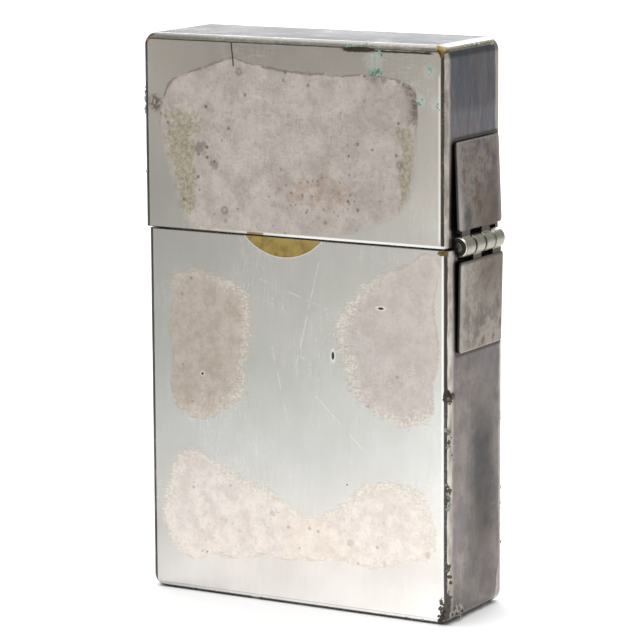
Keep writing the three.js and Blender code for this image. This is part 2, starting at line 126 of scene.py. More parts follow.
class Graph:
    """One node material, with its coordinates in millimetres of the row frame."""

    def __init__(self, name):
        self.material = bpy.data.materials.new(name)
        self.material.use_nodes = True
        self.tree = self.material.node_tree
        self.tree.nodes.clear()
        coordinates = self.add("ShaderNodeTexCoord")
        scaled = self.add("ShaderNodeVectorMath", operation="SCALE")
        self.feed(scaled.inputs[0], coordinates.outputs["Object"])
        self.feed(scaled.inputs["Scale"], 1 / MM)
        self.place = scaled.outputs[0]
        self.x, self.y, self.z = self.split(self.place)
        self.nx, self.ny, self.nz = self.split(coordinates.outputs["Normal"])

    def add(self, kind, **settings):
        node = self.tree.nodes.new(kind)
        for key, value in settings.items():
            setattr(node, key, value)
        return node

    def feed(self, socket, value):
        """Joins a Signal or a socket to an input, or sets it to a number or colour."""
        if isinstance(value, Signal):
            value = value.socket
        if isinstance(value, bpy.types.NodeSocket):
            self.tree.links.new(value, socket)
        elif socket.type == "RGBA":
            socket.default_value = (*value, 1.0)
        else:
            socket.default_value = value

    def split(self, vector):
        node = self.add("ShaderNodeSeparateXYZ")
        self.feed(node.inputs[0], vector)
        return [Signal(self, output) for output in node.outputs]

    def math(self, operation, *values):
        node = self.add("ShaderNodeMath", operation=operation)
        for socket, value in zip(node.inputs, values):
            self.feed(socket, value)
        return Signal(self, node.outputs[0])

    def map_range(self, value, low, high):
        node = self.add("ShaderNodeMapRange", interpolation_type="SMOOTHSTEP")
        self.feed(node.inputs["Value"], value)
        node.inputs["From Min"].default_value = low
        node.inputs["From Max"].default_value = high
        return Signal(self, node.outputs["Result"])

    def spaced(self, scale, seed):
        """The place, scaled to cycles per millimetre and moved on by the seed."""
        each = scale if isinstance(scale, tuple) else (scale, scale, scale)
        node = self.add("ShaderNodeVectorMath", operation="MULTIPLY_ADD")
        self.feed(node.inputs[0], self.place)
        self.feed(node.inputs[1], each)
        self.feed(node.inputs[2], (seed * 7.3, seed * 3.1, seed * 5.7))
        return node.outputs[0]

    def noise(self, scale, seed=0, detail=3, roughness=0.55, distortion=0.0):
        node = self.add("ShaderNodeTexNoise")
        self.feed(node.inputs["Vector"], self.spaced(scale, seed))
        for name, value in {"Scale": 1.0, "Detail": detail, "Roughness": roughness,
                            "Distortion": distortion}.items():
            self.feed(node.inputs[name], value)
        return Signal(self, node.outputs["Fac"])

    def ripple(self, size, scale, seed=0, **noise_settings):
        """Noise about 0, with size from end to end of its range."""
        return (self.noise(scale, seed, **noise_settings) - 0.5) * size

    def cells(self, scale, seed):
        """Voronoi distance, and a random number for each cell."""
        node = self.add("ShaderNodeTexVoronoi", feature="F1")
        self.feed(node.inputs["Vector"], self.spaced(scale, seed))
        node.inputs["Scale"].default_value = 1.0
        return Signal(self, node.outputs["Distance"]), self.split(node.outputs["Color"])[0]

    def mix(self, factor, first, second):
        node = self.add("ShaderNodeMix", data_type="RGBA")
        colour_inputs = [socket for socket in node.inputs if socket.type == "RGBA"]
        self.feed(node.inputs[0], factor)
        self.feed(colour_inputs[0], first)
        self.feed(colour_inputs[1], second)
        return next(socket for socket in node.outputs if socket.type == "RGBA")

    def shade(self, colour, strength):
        """A colour multiplied by a number."""
        node = self.add("ShaderNodeVectorMath", operation="SCALE")
        self.feed(node.inputs[0], colour)
        self.feed(node.inputs["Scale"], strength)
        return node.outputs[0]

    def outline(self, centre, points):
        """Distance outside a measured outline on the front, negative inside."""
        across, up = self.x - centre[0], self.z - centre[1]
        turn = self.math("ARCTAN2", up, across) / (2 * math.pi) + 0.5
        spots = []
        for x, z in points:
            angle = math.atan2(z - centre[1], x - centre[0]) / (2 * math.pi) + 0.5
            spots.append((angle, math.hypot(x - centre[0], z - centre[1])))
        spots.sort()
        widest = max(radius for _, radius in spots)
        (first_turn, first_radius), (last_turn, last_radius) = spots[0], spots[-1]
        share = (1 - last_turn) / (1 - last_turn + first_turn)
        ends = last_radius + (first_radius - last_radius) * share
        curve = self.add("ShaderNodeFloatCurve")
        self.feed(curve.inputs["Value"], turn)
        knots = curve.mapping.curves[0].points
        knots[0].location, knots[1].location = (0, ends / widest), (1, ends / widest)
        for angle, radius in spots:
            knots.new(angle, radius / widest)
        curve.mapping.update()
        reach = Signal(self, curve.outputs[0]) * widest
        return length(across, up) - reach

    def ramp(self, value, stops):
        """A colour that runs through (position, colour) stops."""
        node = self.add("ShaderNodeValToRGB")
        self.feed(node.inputs[0], value)
        elements = node.color_ramp.elements
        while len(elements) < len(stops):
            elements.new(0.5)
        for element, (position, colour) in zip(elements, stops):
            element.position = position
            element.color = (*colour, 1.0)
        return node.outputs[0]

    def finish(self, colour, metallic, roughness, height, depth_mm=0.05):
        """The shader, with height (0 to 1) as bumps depth_mm deep."""
        bump = self.add("ShaderNodeBump")
        for name, value in {"Strength": 1.0, "Distance": depth_mm * MM, "Height": height}.items():
            self.feed(bump.inputs[name], value)
        shader = self.add("ShaderNodeBsdfPrincipled")
        for name, value in {"Base Color": colour, "Metallic": metallic, "Roughness": roughness,
                            "Normal": bump.outputs[0]}.items():
            self.feed(shader.inputs[name], value)
        self.feed(self.add("ShaderNodeOutputMaterial").inputs["Surface"], shader.outputs[0])
        return self.material


def length(across, up):
    """Length of the line that goes so far across and so far up."""
    return (across * across + up * up).sqrt()


def ellipse(across, up, radius_across, radius_up):
    """Distance outside an ellipse, negative inside, from places measured from its centre."""
    distance = length(across / radius_across, up / radius_up) - 1
    return distance * min(radius_across, radius_up)


def disc(g, x, z, radius_x, radius_z):
    """Distance outside an ellipse on the front, negative inside."""
    return ellipse(g.x - x, g.z - z, radius_x, radius_z)


def disc_on_side(g, y, z, radius_y, radius_z):
    """Distance outside an ellipse on the narrow side, negative inside."""
    return ellipse(g.y - y, g.z - z, radius_y, radius_z)


def around(g, node, reach):
    """1 close round the outline of a leaf on the narrow side, fading out at reach."""
    low, high = node_box_mm(node)
    across = (low.y - g.y).max(g.y - high.y).max(0)
    up = (low.z - g.z).max(g.z - high.z).max(0)
    return length(across, up).falling(reach * 0.5, reach)


# ---- colours

BRASS = (0.35, 0.255, 0.085)
DARK_BRASS = (0.16, 0.11, 0.04)
# Dark dirt, also used for painted shade and for the painted dark reflection on the rounded edges.
GRIME_AND_SHADE = (0.022, 0.017, 0.012)
CREAM = (0.66, 0.60, 0.50)
PALE_FRINGE = (0.72, 0.69, 0.63)
PINK_STAIN = (0.455, 0.405, 0.375)
BROWN_STAIN = (0.44, 0.375, 0.315)
INSERT_NICKEL = (0.44, 0.435, 0.42)

LEAF_NODES = {True: "hinge_leaf_upper", False: "hinge_leaf_lower"}  # by whether it is the lid's
UPPER_LEAF_TONES = [
    (0.35, (0.075, 0.07, 0.075)), (0.45, (0.135, 0.112, 0.105)),
    (0.55, (0.225, 0.195, 0.17)), (0.66, (0.115, 0.07, 0.05))]
LOWER_LEAF_TONES = [
    (0.35, (0.115, 0.092, 0.082)), (0.45, (0.185, 0.158, 0.132)),
    (0.55, (0.285, 0.262, 0.225)), (0.66, (0.14, 0.085, 0.052))]
# The plate's tone with a painted reflection, from the foot (0) to the top (1): brighter and cooler
# lower down.
PLATE_REFLECTION_FADE = [
    (0.0, (0.92, 0.885, 0.85)),
    (0.10, (0.66, 0.63, 0.59)),
    (0.28, (0.49, 0.49, 0.47)),
    (0.44, (0.405, 0.405, 0.375)),
    (0.62, (0.395, 0.385, 0.355)),
    (0.80, (0.40, 0.375, 0.335)),
    (1.0, (0.385, 0.35, 0.305)),
]

# ---- the plated case


def specks(g, scale, seed, share, size):
    """Small round marks: a share of the cells hold one."""
    distance, lottery = g.cells(scale, seed)
    present = lottery.rising(1 - share, 1 - share + 0.02)
    return distance.falling(size * 0.55, size) * present


def scratches(g, seed):
    """Fine straight marks in two directions."""
    steep = g.noise((7.0, 1.0, 0.25), seed, detail=2).band(0.5, 0.004, 0.006)
    flat = g.noise((0.3, 1.0, 6.0), seed + 3, detail=2).band(0.5, 0.003, 0.006)
    where = g.noise(0.12, seed + 5, detail=1).rising(0.5, 0.62)
    return (steep + flat).min(1) * where


def edge_turn(g, shift):
    """How far round an upright rounded edge: 0 on the broad face, 1 on the narrow side."""
    across = (abs(g.x - shift) - (HALF_WIDTH - EDGE)).max(0)
    deep = (abs(g.y) - (HALF_DEPTH - EDGE)).max(0)
    return g.math("ARCTAN2", across, deep + 0.0001) / (math.pi / 2)


def side_tarnish_and_shade(g):
    """Slate and brown tarnish on the narrow sides in upright streaks, paler by the edges, its
    tones darkened as painted shade.
    """
    streak = g.noise((0.9, 0.75, 0.13), 11, detail=5, roughness=0.68)
    cloud = g.noise(0.25, 12, detail=6, roughness=0.7)
    fine = g.noise((1.5, 1.8, 0.5), 16, detail=5, roughness=0.7)
    cool = g.mix(streak.rising(0.35, 0.68), (0.068, 0.078, 0.098), (0.125, 0.112, 0.115))
    cool = g.mix(cloud.rising(0.48, 0.66) * 0.75, cool, (0.115, 0.08, 0.075))
    cool = g.mix(fine.falling(0.34, 0.46) * 0.45, cool, (0.165, 0.155, 0.15))
    warm = g.mix(cloud.rising(0.36, 0.62), (0.205, 0.178, 0.155), (0.115, 0.095, 0.095))
    warm = g.mix(streak.rising(0.45, 0.7) * 0.5, warm, (0.15, 0.14, 0.142))
    high = (g.z + (cloud - 0.5) * 6).rising(SEAM - 1, SEAM + 4)
    film_and_shade = g.mix(high, warm, cool)
    green = g.noise(0.5, 15, detail=4).rising(0.6, 0.72) * 0.45
    film_and_shade = g.mix(green, film_and_shade, (0.11, 0.135, 0.125))
    # Painted shade and painted reflection: darker in the middle of the base's side and a little
    # darker high up, lighter just above the upper leaf and low down near the front.
    middle = abs(g.y - 1.6 + (streak - 0.5) * 3).falling(0.8, 4.4) * g.z.band(15.0, 3.0, 11.0)
    over_leaf = g.z.band(54.4, 0.9, 1.4) * 0.4
    low_front = g.z.band(9.0, 2.0, 5.0) * g.y.falling(-4.0, -1.0) * 0.4
    film_and_shade = g.shade(film_and_shade, (1 - middle * 0.7) * (1 - high * 0.12) * (1 + (over_leaf + low_front)))
    film_and_shade = g.mix(fine.rising(0.5, 0.72) * 0.35, film_and_shade, (0.085, 0.07, 0.07))
    rim = (abs(g.y) + (fine - 0.5) * 0.9 + high * g.y.rising(0, 2) * 0.35)
    rim = rim.rising(HALF_DEPTH - 1.15, HALF_DEPTH - 0.75)
    rim = rim.max((g.z + (fine - 0.5) * 0.25).rising(TOP - 0.75, TOP - 0.6))
    worn = disc_on_side(g, -4.3, 0.4, 1.7, 1.5).min(disc_on_side(g, 5.6, 1.6, 0.8, 2.4))
    worn = (worn + (fine - 0.5) * 1.6).falling(-0.1, 0.15)
    pale = g.mix(streak.rising(0.35, 0.65), (0.27, 0.235, 0.205), (0.42, 0.385, 0.345))
    rubbed = g.mix(fine.rising(0.4, 0.6), (0.30, 0.26, 0.225), (0.50, 0.46, 0.41))
    return g.mix(rim * 0.85, g.mix(worn * 0.85, film_and_shade, rubbed), pale)


LID_STAIN = [
    (-16.2, 57.3), (-14.1, 58.7), (-11.5, 59.6), (-8.7, 60.6), (-7.9, 60.8), (-5.7, 60.3),
    (-2.6, 59.85), (0.1, 59.6), (4.5, 59.5), (8.9, 59.7), (11.3, 59.5), (13.3, 59.1),
    (14.8, 58.0), (15.1, 55.8),
    (15.0, 52.5), (14.8, 48.5), (13.4, 45.6), (10.5, 43.6), (6.9, 42.4), (0, 41.6),
    (-8, 41.6), (-14.1, 42.2), (-15.4, 45.7), (-16.7, 50.1), (-17.2, 54.6)]
LEFT_STAIN = [
    (-15.1, 36.5), (-12.9, 37.1), (-10.3, 36.5), (-7.1, 35.6), (-5.8, 33.5), (-5.8, 30.6),
    (-6.5, 27.2), (-6.8, 23.2), (-9.2, 21.5), (-11.8, 20.1), (-14.5, 20.6), (-16, 22.4),
    (-16.1, 28.7), (-16, 33.2)]
RIGHT_STAIN = [
    (17.4, 40.7), (14.3, 39.5), (11.3, 38.4), (8.8, 36.8), (7.2, 35), (5.6, 33.3), (5, 30.4),
    (6.2, 27.8), (6.9, 25), (8.7, 23.5), (11.8, 22), (14.3, 21.5), (16.6, 22.8),
    (17.3, 27.1), (17.5, 33.0), (17.6, 38.0)]
LOW_LEFT_STAIN = [
    (-16.7, 12.4), (-15.6, 15.4), (-13.2, 16.5), (-11.2, 15.6), (-7.3, 14.1), (-3.4, 12.7),
    (-0.2, 10.8), (1.5, 8.4), (1.0, 6.3), (-4.8, 5.2), (-10, 4.5), (-15.4, 4.3),
    (-16.9, 6.6), (-17.5, 10)]
LOW_RIGHT_STAIN = [
    (-1.0, 9.9), (3, 10.3), (6.2, 12.7), (9.9, 15), (13.1, 15.3), (16.1, 13.7),
    (17.2, 10.5), (17.2, 8.3), (13, 6.5), (6.8, 5.7), (0.4, 6.1)]


def tide_stain(g, outline, inner, outer, fringe, seed, paleness):
    """Colour and cover of a dried stain: mottled inside, frayed and pale where paleness is 1."""
    teeth = g.noise((0.45, 1.0, 4.2), seed, roughness=0.65) - 0.5
    fray = g.noise(3.2, seed + 1, detail=4, roughness=0.7) - 0.5
    distance = outline + teeth * (paleness * 3.4 + 0.5) + fray * 0.7
    cover = distance.falling(-0.14, 0.14)
    rim = cover * (distance + fray * 1.4).rising(-fringe - 0.9, -fringe * 0.2) * paleness
    mottle = g.noise(0.5, seed + 2, detail=7, roughness=0.78)
    inside = g.mix(mottle.rising(0.36, 0.64), inner, outer)
    grit = g.noise(2.2, seed + 4, detail=5, roughness=0.78).rising(0.54, 0.7)
    inside = g.mix(grit * 0.42, inside, (0.27, 0.22, 0.185))
    light = g.noise(1.5, seed + 5, detail=5, roughness=0.75).rising(0.55, 0.7)
    inside = g.mix(light * 0.45, inside, CREAM)
    edge = distance.band(-0.14, 0.04, 0.14) * g.noise(0.6, seed + 6).rising(0.4, 0.6)
    frayed = g.mix(fray.rising(-0.14, 0.14), (0.50, 0.44, 0.37), PALE_FRINGE)
    look = g.mix(rim * 0.8, inside, frayed)
    return g.mix(edge * (0.5 - rim * 0.35), look, (0.36, 0.29, 0.22)), cover


def lid_stain(g):
    """Colour, cover and spots of the lid's one large stain, sharp along its upper edge."""
    distance = g.outline((-0.9, 50.8), LID_STAIN) + g.ripple(0.5, 1.4, 31)
    high = (g.z + abs(g.x) * 0.12).rising(53.0, 58.0)
    cover = distance.falling(-0.1, 0.1) * high + distance.falling(-0.8, 0.5) * (1 - high)
    tide = distance.band(0.0, 0.05, 0.2) * (high * 0.95 + 0.05)
    tide = tide * g.noise(0.7, 32).rising(0.3, 0.5)
    grain = g.noise(1.6, 34, detail=5, roughness=0.75)
    corner = disc(g, 14.3, 57.2, 1.7, 2.6) + (grain - 0.5) * 4.0
    smudge = (distance.rising(-1.6, -0.2) * corner.falling(-0.5, 0.5)).max(
        (disc(g, 9.9, 59.4, 0.8, 0.45) + (grain - 0.5) * 2.0).falling(-0.2, 0.3) * 0.5) * cover
    mottle = g.noise(0.42, 33, detail=7, roughness=0.72)
    inside = g.mix(mottle.rising(0.36, 0.64), (0.405, 0.36, 0.325), (0.53, 0.475, 0.43))
    fine = g.noise(2.2, 40, detail=5, roughness=0.75)
    inside = g.mix(fine.rising(0.5, 0.7) * 0.5, inside, (0.25, 0.205, 0.175))
    inside = g.mix(fine.falling(0.3, 0.42) * 0.35, inside, (0.62, 0.57, 0.53))
    wobble = g.noise(0.28, 42, detail=4) - 0.5
    left_band = (g.x + 14.4 + wobble * 8).band(0, 0.8, 2.4) * g.z.band(49.0, 4.0, 5.0)
    right_band = (g.x - 13.6 + wobble * 3).band(0, 0.4, 1.0) * g.z.band(49.5, 4.0, 2.0)
    olive = (left_band.max(right_band) * 1.1 + (grain - 0.5) * 1.6).rising(0.62, 0.95)
    olive_tone = g.mix(fine.rising(0.4, 0.6), (0.40, 0.37, 0.24), (0.22, 0.19, 0.12))
    inside = g.mix(olive * 0.62, inside, olive_tone)
    low_zone = disc(g, 2.8, 46.6, 9.0, 3.8).falling(-3.2, 1.5)
    rust = (low_zone + g.ripple(1.7, 0.9, 35, detail=6, roughness=0.75)).rising(0.75, 1.15)
    inside = g.mix(rust * 0.6, inside, (0.37, 0.245, 0.17))
    rows = specks(g, 1.5, 45, 0.45, 0.34) * (low_zone + (grain - 0.5) * 3.0).rising(0.35, 0.75)
    inside = g.mix(rows * 0.6, inside, (0.21, 0.135, 0.10))
    rings, chosen = g.cells(0.5, 38)
    ring = (rings + (fine - 0.5) * 0.22).band(0.17, 0.03, 0.09) * chosen.rising(0.84, 0.86)
    spots = specks(g, 1.0, 37, 0.3, 0.27) * g.noise(0.22, 38).rising(0.45, 0.55)
    spots = spots.max(ring * 0.6) * fine.rising(0.3, 0.5)
    blots = disc(g, -12.1, 50.7, 0.7, 0.5).min(disc(g, -10.3, 48.8, 0.35, 0.3))
    blots = (blots + (grain - 0.5) * 2.2).falling(-0.15, 0.25)
    spots = spots.max(blots * 0.7)
    inside = g.mix(spots * 0.75, inside, (0.11, 0.08, 0.075))
    inside = g.mix(smudge * (fine.rising(0.3, 0.6) * 0.5 + 0.35), inside, (0.10, 0.072, 0.052))
    return g.mix(tide * 0.75, inside, (0.19, 0.15, 0.125)), cover.max(tide), spots


def case_stains(g):
    """The base's stains: two upper lobes and a joined pair along the foot."""
    left, left_cover = tide_stain(
        g, g.outline((-11.2, 28.8), LEFT_STAIN), BROWN_STAIN, (0.55, 0.48, 0.42),
        1.0, 41, g.x.rising(-12.5, -7.5).max(abs(g.z - 28.8).rising(5.5, 8.0) * 0.5) * 0.8 + 0.12)
    right, right_cover = tide_stain(
        g, g.outline((12.4, 30.5), RIGHT_STAIN), PINK_STAIN, (0.54, 0.49, 0.455),
        1.1, 51, g.x.falling(7.0, 13.0).max(g.z.falling(22.0, 27.0)) * 0.8 + 0.12)
    low_outline = g.outline((-9.0, 9.5), LOW_LEFT_STAIN)
    low_outline = low_outline.smooth_min(g.outline((9.0, 10.0), LOW_RIGHT_STAIN), 0.6)
    joined = disc(g, 0.5, 8.0, 3.2, 2.3)
    low, low_cover = tide_stain(
        g, low_outline.smooth_min(joined, 0.8), (0.555, 0.50, 0.465), (0.67, 0.615, 0.57),
        1.3, 61, g.z.rising(4.0, 12.0) * 0.4 + 0.35)
    cream_share = (joined + g.x * -0.25).falling(-2.5, 2.5)
    cream_share = cream_share * g.noise(0.9, 68, detail=6, roughness=0.75).rising(0.38, 0.6)
    low = g.mix(cream_share * 0.5, low, (0.71, 0.615, 0.475))
    brown_bits = specks(g, 0.5, 65, 0.3, 0.28)
    low = g.mix(brown_bits * 0.35, low, (0.32, 0.22, 0.15))
    colour = g.mix(right_cover, g.mix(left_cover, low, left), right)
    return colour, left_cover.max(right_cover).max(low_cover)


def back_stains(g, seed):
    """Scattered stains for the broad back, where nothing sets their places."""
    field = g.noise((0.075, 1.0, 0.06), seed, roughness=0.5)
    distance = (0.57 - field) * 26
    inner, outer = (0.46, 0.40, 0.36), (0.57, 0.51, 0.47)
    return tide_stain(g, distance, inner, outer, 1.2, seed + 3, field.rising(0.4, 0.6) * 0.3 + 0.2)


def corner_wear(g, shift):
    """Bare metal where the plate has gone from the lid's front corners and top edge."""
    right = abs(g.x - (HALF_WIDTH + shift - 0.55)) - (g.z - (TOP - 1.4)) * 0.6
    left = disc(g, -HALF_WIDTH + shift + 0.35, TOP - 0.35, 0.7, 0.6)
    chip = disc(g, 7.3, TOP - 0.85, 1.3, 0.28)
    rough = g.ripple(0.7, 2.6, 71, detail=4, roughness=0.7)
    front = g.y.falling(*FRONT_SKIN)
    bare = (right.min(left) + rough).falling(-0.05, 0.05) * front
    return bare, (chip + rough * 0.5).falling(-0.05, 0.06) * front


def hairline(g, start, end):
    """A fine straight scratch on the front."""
    run = (end[0] - start[0], end[1] - start[1])
    whole = math.hypot(*run)
    step_x, step_z = run[0] / whole, run[1] / whole
    across, up = g.x - start[0], g.z - start[1]
    share = (across * step_x + up * step_z).max(0).min(whole)
    return length(across - share * step_x, up - share * step_z).falling(0.02, 0.07)


def halo(g, x, z, radius):
    """A soft round patch on the front."""
    rough = (g.noise(1.8, 74, detail=4, roughness=0.7) - 0.5) * radius
    return (disc(g, x, z, radius, radius) + rough).falling(-0.5, 0.25)


def lid_marks(g, shift, front):
    """Bare brass, dark breaks in the plate, a paler lower edge, and a painted highlight line
    beside the lid's right edge.
    """
    bare, chip = corner_wear(g, shift)
    rim_strip = g.z.falling(SEAM + 0.28, SEAM + 0.4) * g.x.band(-5.1, 0.9, 0.3)
    bare = bare.max(rim_strip * front)
    wander = g.ripple(0.22, (0.8, 1.0, 3.0), 75)
    slit = (g.z + wander).band(TOP - 0.88, 0.09, 0.06) * g.x.band(13.6, 3.0, 0.7)
    tear = (disc(g, 8.2, TOP - 0.8, 1.9, 0.26) + wander).falling(-0.02, 0.08)
    scrape = (g.x + 8.0 + (g.z - TOP) * 0.1 + wander).band(0, 0.06, 0.05)
    scrape = scrape * g.z.band(61.2, 1.2, 0.2)
    black = (slit + tear + scrape).min(1) * front
    # Paler along the lid's lower edge, more towards the right.
    rubbed = g.z.falling(SEAM + 0.3, SEAM + 0.42) * (g.x - shift).rising(-14, 2)
    # Painted highlight: a bright line beside the front's right edge.
    right_edge_highlight = (g.x - shift).band(GLINT_X, 0.07, 0.06)
    right_edge_highlight = right_edge_highlight * g.z.band(51.0, 8.5, 1.0) * (0.75 + wander)
    return bare, chip.max(black), (rubbed * front).max(right_edge_highlight * front)


HAIRLINES = [
    ((3.0, 39.0), (0.0, 27.0)), ((-4.5, 36.5), (4.0, 33.8)),
    ((-3.5, 31.0), (-1.0, 20.5)), ((2.5, 24.0), (8.5, 18.5))]


def base_marks(g, front):
    """The base's arc of bare brass with its pale rim, worn corner, blisters and nicks, and a
    painted highlight line beside the front's right edge.
    """
    arc = disc(g, -1.52, SEAM + 4.4, 6.6, 6.6) + g.ripple(0.1, 1.5, 76, detail=2)
    bare = arc.falling(-0.04, 0.03) * front
    rim = arc.band(0.06, 0.03, 0.06) * front * 0.4
    corner = disc(g, HALF_WIDTH - 0.3, SEAM - 0.35, 1.0, 0.35) + g.ripple(0.5, 2.4, 72)
    bare = bare.max(corner.falling(-0.05, 0.05) * front)
    blister = disc(g, HALF_WIDTH - 0.35, 25.4, 0.4, 0.75) + g.ripple(0.5, 2.0, 73)
    nick = disc(g, 4.7, 28.7, 0.16, 0.4).min(disc(g, 10.7, 34.4, 0.3, 0.12))
    nick = nick.min(disc(g, -12.1, 25.2, 0.14, 0.14))
    nick_rim = nick.band(0.1, 0.03, 0.08) * front * 0.35
    blister = blister.falling(-0.05, 0.05) * g.y.falling(-HALF_DEPTH + 1.0, -HALF_DEPTH + 1.6)
    wedge = (HALF_WIDTH - 0.25 - g.x) - (3.0 - g.z).max(0) * 0.42
    wedge = wedge + g.ripple(1.6, 1.3, 78, detail=5, roughness=0.7)
    wedge = wedge.falling(-0.08, 0.08) * g.z.falling(2.9, 3.3) * front
    blister = blister.max(wedge)
    hair = hairline(g, *HAIRLINES[0])
    for start, end in HAIRLINES[1:]:
        hair = hair.max(hairline(g, start, end))
    hair = hair * g.noise(0.8, 77).rising(0.42, 0.55) * front * 0.33
    # Painted highlight: the bright line beside the front's right edge.
    edge_glint = g.x.band(GLINT_X, 0.07, 0.07) * front * 0.8
    bright = rim.max(nick_rim).max(hair).max(edge_glint)
    return bare, blister.max(nick.falling(-0.02, 0.04) * front), bright


def plate_material(name, is_lid):
    """Worn nickel over brass: plate tone with painted reflection, stains, side tarnish with
    painted shade, rounded edges with painted reflection and highlights, bare brass, and painted
    shade at the foot and round the hinge leaves.
    """
    g = Graph(name)
    shift = LID_SHIFT if is_lid else 0.0
    front = (g.ny * -1).rising(0.55, 0.9)
    back = g.ny.rising(0.55, 0.9)
    side = abs(g.nx).rising(0.72, 0.9)
    top = g.nz.rising(0.72, 0.95)

    # Plate tone with painted reflection: lighter towards the foot and the right, lighter high up
    # and darker low down at the far left, with faint streaks; the cloudy darker patches are the
    # plate's own.
    fade = g.z / TOP + g.ripple(0.1, 0.07, 21, detail=1)
    plate_and_reflection = g.shade(g.ramp(fade, PLATE_REFLECTION_FADE), 1 + g.x * 0.010 + (g.x - 13).max(0) * 0.028)
    far_left = (-8 - g.x).max(0)
    lift = far_left * (g.z - 46).max(0) * 0.0036 - far_left * (20 - g.z).max(0) * 0.0013
    plate_and_reflection = g.shade(plate_and_reflection, (1 + lift) * (g.noise((2.2, 1.0, 0.3), 19, detail=4) * 0.12 + 0.94))
    cloud = g.noise(0.3, 22, detail=4).rising(0.3, 0.75)
    plate_and_reflection = g.mix(cloud * 0.08, plate_and_reflection, (0.40, 0.36, 0.32))
    if is_lid:
        stain, cover, spots = lid_stain(g)
        rough_patch = halo(g, 9.9, 61.4, 1.3).max(halo(g, 16.6, 60.4, 0.9))
        rough_patch = rough_patch.max(halo(g, 15.4, 57.2, 0.9)).max(halo(g, 17.5, 57.0, 0.8))
        plate_and_reflection = g.mix(rough_patch * front * 0.35, plate_and_reflection, (0.60, 0.645, 0.60))
        smudge = halo(g, -17.9, 55.4, 1.0) * g.noise(2.4, 20, detail=4).rising(0.36, 0.5)
        plate_and_reflection = g.mix(smudge * front * 0.8, plate_and_reflection, (0.12, 0.10, 0.085))
    else:
        stain, cover = case_stains(g)
        spots = specks(g, 0.8, 39, 0.22, 0.2)
        stain = g.mix(spots * 0.45, stain, (0.20, 0.15, 0.135))
        # Painted reflection: the stains lighter towards the foot and the right, as on the plate.
        stain = g.shade(stain, (1 + (24 - g.z).max(0) * 0.024) * (1 + g.x * 0.008))
    cover = cover * front
    behind, behind_cover = back_stains(g, 81 if is_lid else 91)
    behind_cover = behind_cover * back
    colour = g.mix(cover, plate_and_reflection, stain)
    colour = g.mix(behind_cover, colour, behind)
    all_stain = cover.max(behind_cover)

    streaks = g.noise((0.25, 1.6, 1.0), 17, detail=4)
    roof = g.mix(streaks.rising(0.35, 0.7), (0.375, 0.375, 0.40), (0.43, 0.43, 0.465))
    # Painted shade: the top darker on its rounded edges; it is also darker towards its front edge.
    roof = g.shade(roof, 1 - g.nz.falling(0.97, 0.998) * 0.55)
    roof = g.shade(roof, g.y.rising(-HALF_DEPTH + 0.9, -HALF_DEPTH + 4.5) * 0.45 + 0.42)
    colour = g.mix(top, colour, g.mix(cloud * 0.3, roof, (0.36, 0.345, 0.345)))
    colour = g.mix(side, colour, side_tarnish_and_shade(g))

    turn = edge_turn(g, shift)
    ragged = g.ripple(0.22, (1.6, 1.6, 0.45), 23, detail=5, roughness=0.65)
    on_edge = turn.rising(0.005, 0.02) * turn.falling(0.97, 0.995)
    # Painted reflection on the rounded upright edges: a pale strip on their outer part, and a
    # ragged dark line nearer the broad face where the edge reflects the dark room.
    strip = turn.rising(0.34, 0.46) * on_edge
    strip_grain = g.noise((1.0, 1.0, 0.4), 18, detail=5).rising(0.35, 0.65)
    edge_strip_reflection = g.mix(strip_grain, (0.32, 0.27, 0.225), (0.60, 0.555, 0.50))
    colour = g.mix(strip * 0.9, colour, edge_strip_reflection)
    edge_dark_reflection = (turn + ragged).band(0.2, 0.16, 0.08) * on_edge
    colour = g.mix(edge_dark_reflection * 0.95, colour, GRIME_AND_SHADE)

    # Painted highlight along the rounded top front edge, darker as painted shade where it turns up
    # to the top.
    lip_highlight = (g.z - (TOP - EDGE)).rising(-0.02, 0.08) * (1 - top) * (1 - side)
    lip_grain = g.noise((0.5, 1.0, 2.0), 24, detail=5, roughness=0.65)
    lip_highlight_colour = g.mix(lip_grain.rising(0.4, 0.65), (0.34, 0.31, 0.25), (0.48, 0.455, 0.385))
    lip_highlight_colour = g.mix(g.nz.rising(0.38, 0.56), lip_highlight_colour, (0.15, 0.14, 0.12))
    colour = g.mix(lip_highlight, colour, lip_highlight_colour)
    # Dark marks: the crack under the top edge, a thin line along the foot and the seam, with
    # painted shade on the downward faces at the foot and close round each hinge leaf on the sides.
    lip_line = (g.z + (lip_grain - 0.5) * 0.1).band(TOP - EDGE - 0.03, 0.035, 0.05) * front
    foot = (g.nz * -1).rising(0.35, 0.7) * (1 - g.z.rising(0.5, 0.8))
    foot = foot * g.noise(0.9, 25, detail=5).rising(0.25, 0.45)
    foot_line = g.z.band(0.62, 0.03, 0.04) * front * 0.35
    seam_grime = abs(g.z - SEAM).falling(0.11, 0.2)
    leaf_outline_shade = around(g, LEAF_NODES[is_lid], 0.62)
    leaf_outline_shade = leaf_outline_shade * side * g.x.rising(0, 1)
    dirt = lip_line.max(foot).max(foot_line).max(seam_grime).max(leaf_outline_shade)
    colour = g.mix(dirt * 0.85, colour, GRIME_AND_SHADE)

    pits = specks(g, 0.33, 26, 0.12, 0.05)
    colour = g.mix(pits * 0.85, colour, (0.05, 0.04, 0.035))
    lines = scratches(g, 27) * (1 - side * 0.85)
    colour = g.mix(lines * 0.4, colour, (0.86, 0.84, 0.80))

    bare, black, bright = lid_marks(g, shift, front) if is_lid else base_marks(g, front)
    bruise = g.noise(0.9, 28, detail=4).rising(0.35, 0.65)
